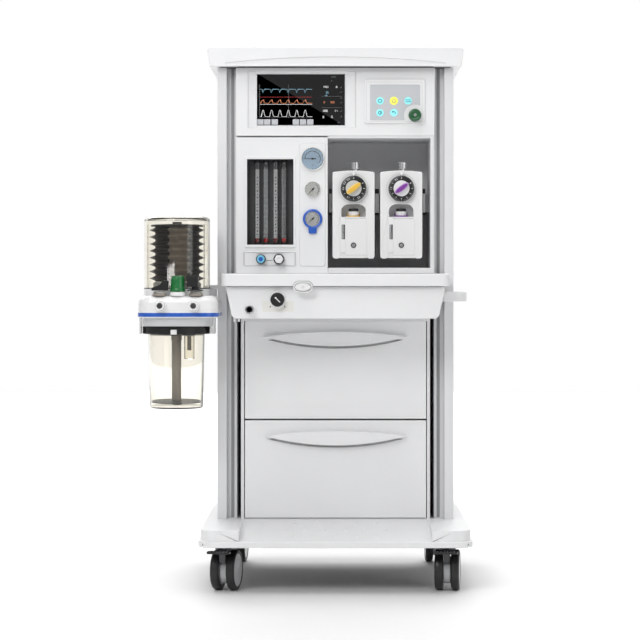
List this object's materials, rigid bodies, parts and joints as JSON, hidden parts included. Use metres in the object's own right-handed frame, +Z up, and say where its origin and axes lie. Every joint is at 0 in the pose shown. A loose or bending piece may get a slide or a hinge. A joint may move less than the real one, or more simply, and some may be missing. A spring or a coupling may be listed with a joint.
{
  "type": "anesthesia machine",
  "caption": "Mobile anesthesia machine: swing-out absorber with bellows, flow meters, gauges and display above a worktop, vaporizers on a back bar, drawers, and a base on braked casters.",
  "frame": {"origin": "on the floor, under the middle of the bounding box", "axes": "+Z up, +Y from the front panels towards the rear cover, +X to the right of someone facing the machine"},
  "size_m": [0.8256, 0.67, 1.36],
  "materials": {
    "white_moulding": "fine moulded texture",
    "powder_coat": "white powder coat",
    "chassis_steel": "black powder coat",
    "drawer_white": "satin moulding",
    "zinc_slides": "zinc plated",
    "screen": "gloss black with a lit graph",
    "keypad_film": "printed film",
    "steel_shaft": "turned",
    "green_plastic": "moulded",
    "gauge_metal": "polished",
    "clear_lens": "clear",
    "needle_black": "matt",
    "float_red": "anodised",
    "n2o_blue": "moulded",
    "o2_white": "moulded",
    "vaporizer_white": "gloss enamel look",
    "dial_yellow": "moulded",
    "dial_purple": "moulded",
    "satin_metal": "satin",
    "cap_black": "moulded",
    "button_white": "moulded",
    "absorber_white": "moulded",
    "clear_smoke": "clear, slightly yellow",
    "bellows_rubber": "moulded",
    "caster_grey": "moulded",
    "tyre_black": "rubber tread, light discs"
  },
  "bodies": {
    "frame": {"base_cover": "white_moulding", "base_chassis": "chassis_steel", "side_columns": "powder_coat", "drawer_cabinet": "powder_coat", "rear_cover": "powder_coat", "worktop": "white_moulding", "worktop_apron": "white_moulding", "top_shelf": "white_moulding", "head_housing": "powder_coat", "display_fascia": "white_moulding", "flow_fascia": "white_moulding", "side_handle": "powder_coat", "drawer_slides": "zinc_slides", "display_screen": "screen", "keypad_overlay": "keypad_film", "gauge_cases": "gauge_metal", "gauge_lenses": "clear_lens", "flow_tubes": "clear_lens", "back_bar": "powder_coat", "left_vaporizer": "vaporizer_white", "right_vaporizer": "vaporizer_white", "gas_fittings": "satin_metal"},
    "absorber": {"absorber_arm": "powder_coat", "absorber_block": "absorber_white", "check_valves": "clear_smoke", "bellows_dome": "clear_smoke", "bellows": "bellows_rubber"},
    "upper_drawer": {"upper_drawer": "drawer_white"},
    "lower_drawer": {"lower_drawer": "drawer_white"},
    "encoder_shaft": {"encoder_shaft": "steel_shaft"},
    "encoder_knob": {"encoder_knob": "green_plastic"},
    "airway_needle": {"airway_needle": "needle_black"},
    "supply_needle": {"supply_needle": "needle_black"},
    "suction_needle": {"suction_needle": "needle_black"},
    "n2o_floats": {"n2o_floats": "float_red"},
    "o2_floats": {"o2_floats": "float_red"},
    "n2o_knob": {"n2o_knob": "n2o_blue"},
    "o2_knob": {"o2_knob": "o2_white"},
    "left_dial": {"left_dial": "dial_yellow"},
    "right_dial": {"right_dial": "dial_purple"},
    "left_lock_knob": {"left_lock_knob": "satin_metal"},
    "right_lock_knob": {"right_lock_knob": "satin_metal"},
    "left_filler_cap": {"left_filler_cap": "cap_black"},
    "right_filler_cap": {"right_filler_cap": "cap_black"},
    "o2_flush_button": {"o2_flush_button": "button_white"},
    "outlet_selector_knob": {"outlet_selector_knob": "cap_black"},
    "bellows_plate": {"bellows_plate": "bellows_rubber"},
    "apl_knob": {"apl_knob": "green_plastic"},
    "canister": {"canister": "clear_smoke"},
    "canister_ring": {"canister_ring": "cap_black"},
    "front_left_caster": {"front_left_fork": "caster_grey"},
    "front_left_wheels": {"front_left_wheels": "tyre_black"},
    "front_left_brake_pedal": {"front_left_brake_pedal": "cap_black"},
    "front_right_caster": {"front_right_fork": "caster_grey"},
    "front_right_wheels": {"front_right_wheels": "tyre_black"},
    "front_right_brake_pedal": {"front_right_brake_pedal": "cap_black"},
    "rear_left_caster": {"rear_left_fork": "caster_grey"},
    "rear_left_wheels": {"rear_left_wheels": "tyre_black"},
    "rear_right_caster": {"rear_right_fork": "caster_grey"},
    "rear_right_wheels": {"rear_right_wheels": "tyre_black"}
  },
  "joints": [
    {"name": "front_left_swivel", "type": "hinge", "parent": "frame", "child": "front_left_caster", "pos_m": [-0.19925, -0.27, 0.125], "axis": [0, 0, 1], "continuous": true},
    {"name": "front_left_roll", "type": "hinge", "parent": "front_left_caster", "child": "front_left_wheels", "pos_m": [-0.19426, -0.24652, 0.05], "axis": [0.9781, -0.2079, 0], "continuous": true},
    {"name": "front_left_brake", "type": "hinge", "parent": "front_left_caster", "child": "front_left_brake_pedal", "pos_m": [-0.20486, -0.29641, 0.101], "axis": [0.9781, -0.2079, 0], "range_deg": [0, 15]},
    {"name": "front_right_swivel", "type": "hinge", "parent": "frame", "child": "front_right_caster", "pos_m": [0.35075, -0.27, 0.125], "axis": [0, 0, 1], "continuous": true},
    {"name": "front_right_roll", "type": "hinge", "parent": "front_right_caster", "child": "front_right_wheels", "pos_m": [0.35326, -0.24613, 0.05], "axis": [0.9945, -0.1045, 0], "continuous": true},
    {"name": "front_right_brake", "type": "hinge", "parent": "front_right_caster", "child": "front_right_brake_pedal", "pos_m": [0.34793, -0.29685, 0.101], "axis": [0.9945, -0.1045, 0], "range_deg": [0, 15]},
    {"name": "rear_left_swivel", "type": "hinge", "parent": "frame", "child": "rear_left_caster", "pos_m": [-0.19925, 0.25, 0.125], "axis": [0, 0, 1], "continuous": true},
    {"name": "rear_left_roll", "type": "hinge", "parent": "rear_left_caster", "child": "rear_left_wheels", "pos_m": [-0.19716, 0.27391, 0.05], "axis": [0.9962, -0.0872, 0], "continuous": true},
    {"name": "rear_right_swivel", "type": "hinge", "parent": "frame", "child": "rear_right_caster", "pos_m": [0.35075, 0.25, 0.125], "axis": [0, 0, 1], "continuous": true},
    {"name": "rear_right_roll", "type": "hinge", "parent": "rear_right_caster", "child": "rear_right_wheels", "pos_m": [0.35075, 0.274, 0.05], "axis": [1, 0, 0], "continuous": true},
    {"name": "upper_drawer_slide", "type": "slide", "parent": "frame", "child": "upper_drawer", "axis": [0, -1, 0], "range_m": [0, 0.28]},
    {"name": "lower_drawer_slide", "type": "slide", "parent": "frame", "child": "lower_drawer", "axis": [0, -1, 0], "range_m": [0, 0.28]},
    {"name": "encoder_press", "type": "slide", "parent": "frame", "child": "encoder_shaft", "axis": [0, 1, 0], "range_m": [0, 0.001], "stiffness_N_per_m": 900},
    {"name": "encoder_turn", "type": "hinge", "parent": "encoder_shaft", "child": "encoder_knob", "pos_m": [0.27875, -0.095, 1.189], "axis": [0, 1, 0], "continuous": true},
    {"name": "airway_needle_turn", "type": "hinge", "parent": "frame", "child": "airway_needle", "pos_m": [0.01725, -0.086, 1.078], "axis": [0, 1, 0], "range_deg": [0, 270], "stiffness_Nm_per_rad": 0.001},
    {"name": "supply_needle_turn", "type": "hinge", "parent": "frame", "child": "supply_needle", "pos_m": [0.01725, -0.086, 0.9995], "axis": [0, 1, 0], "range_deg": [0, 270], "stiffness_Nm_per_rad": 0.001},
    {"name": "suction_needle_turn", "type": "hinge", "parent": "frame", "child": "suction_needle", "pos_m": [0.01725, -0.086, 0.924], "axis": [0, 1, 0], "range_deg": [0, 270], "stiffness_Nm_per_rad": 0.001},
    {"name": "n2o_floats_rise", "type": "slide", "parent": "frame", "child": "n2o_floats", "axis": [0, 0, 1], "range_m": [0, 0.19]},
    {"name": "o2_floats_rise", "type": "slide", "parent": "frame", "child": "o2_floats", "axis": [0, 0, 1], "range_m": [0, 0.19]},
    {"name": "n2o_knob_turn", "type": "hinge", "parent": "frame", "child": "n2o_knob", "pos_m": [-0.11475, -0.09, 0.821], "axis": [0, -1, 0], "range_deg": [0, 1350]},
    {"name": "o2_knob_turn", "type": "hinge", "parent": "frame", "child": "o2_knob", "pos_m": [-0.06875, -0.09, 0.821], "axis": [0, -1, 0], "range_deg": [0, 1350]},
    {"name": "left_dial_turn", "type": "hinge", "parent": "frame", "child": "left_dial", "pos_m": [0.122, -0.08, 1.002], "axis": [0, -1, 0], "range_deg": [0, 300]},
    {"name": "left_lock_turn", "type": "hinge", "parent": "frame", "child": "left_lock_knob", "pos_m": [0.1265, -0.02, 1.059], "axis": [0, 0, 1], "range_deg": [0, 90]},
    {"name": "left_cap_turn", "type": "hinge", "parent": "frame", "child": "left_filler_cap", "pos_m": [0.122, -0.05, 0.944], "axis": [0, 0, 1], "range_deg": [0, 450]},
    {"name": "right_dial_turn", "type": "hinge", "parent": "frame", "child": "right_dial", "pos_m": [0.2445, -0.08, 1.002], "axis": [0, -1, 0], "range_deg": [0, 300]},
    {"name": "right_lock_turn", "type": "hinge", "parent": "frame", "child": "right_lock_knob", "pos_m": [0.249, -0.02, 1.059], "axis": [0, 0, 1], "range_deg": [0, 90]},
    {"name": "right_cap_turn", "type": "hinge", "parent": "frame", "child": "right_filler_cap", "pos_m": [0.2445, -0.05, 0.944], "axis": [0, 0, 1], "range_deg": [0, 450]},
    {"name": "o2_flush_press", "type": "slide", "parent": "frame", "child": "o2_flush_button", "axis": [0, 1, 0], "range_m": [0, 0.004], "stiffness_N_per_m": 1500},
    {"name": "outlet_selector_turn", "type": "hinge", "parent": "frame", "child": "outlet_selector_knob", "pos_m": [-0.06725, -0.275, 0.719], "axis": [0, 1, 0], "range_deg": [0, 90]},
    {"name": "absorber_swing", "type": "hinge", "parent": "frame", "child": "absorber", "pos_m": [-0.24225, -0.07, 0.7175], "axis": [0, 0, 1], "range_deg": [-60, 0]},
    {"name": "bellows_travel", "type": "slide", "parent": "absorber", "child": "bellows_plate", "axis": [0, 0, -1], "range_m": [0, 0.11], "deforming": ["bellows"]},
    {"name": "apl_turn", "type": "hinge", "parent": "absorber", "child": "apl_knob", "pos_m": [-0.31225, -0.283, 0.76], "axis": [0, 0, 1], "range_deg": [0, 300]},
    {"name": "canister_ring_turn", "type": "hinge", "parent": "absorber", "child": "canister_ring", "pos_m": [-0.32225, -0.195, 0.64], "axis": [0, 0, 1], "range_deg": [0, 40]},
    {"name": "canister_drop", "type": "slide", "parent": "absorber", "child": "canister", "axis": [0, 0, -1], "range_m": [0, 0.03]}
  ]
}
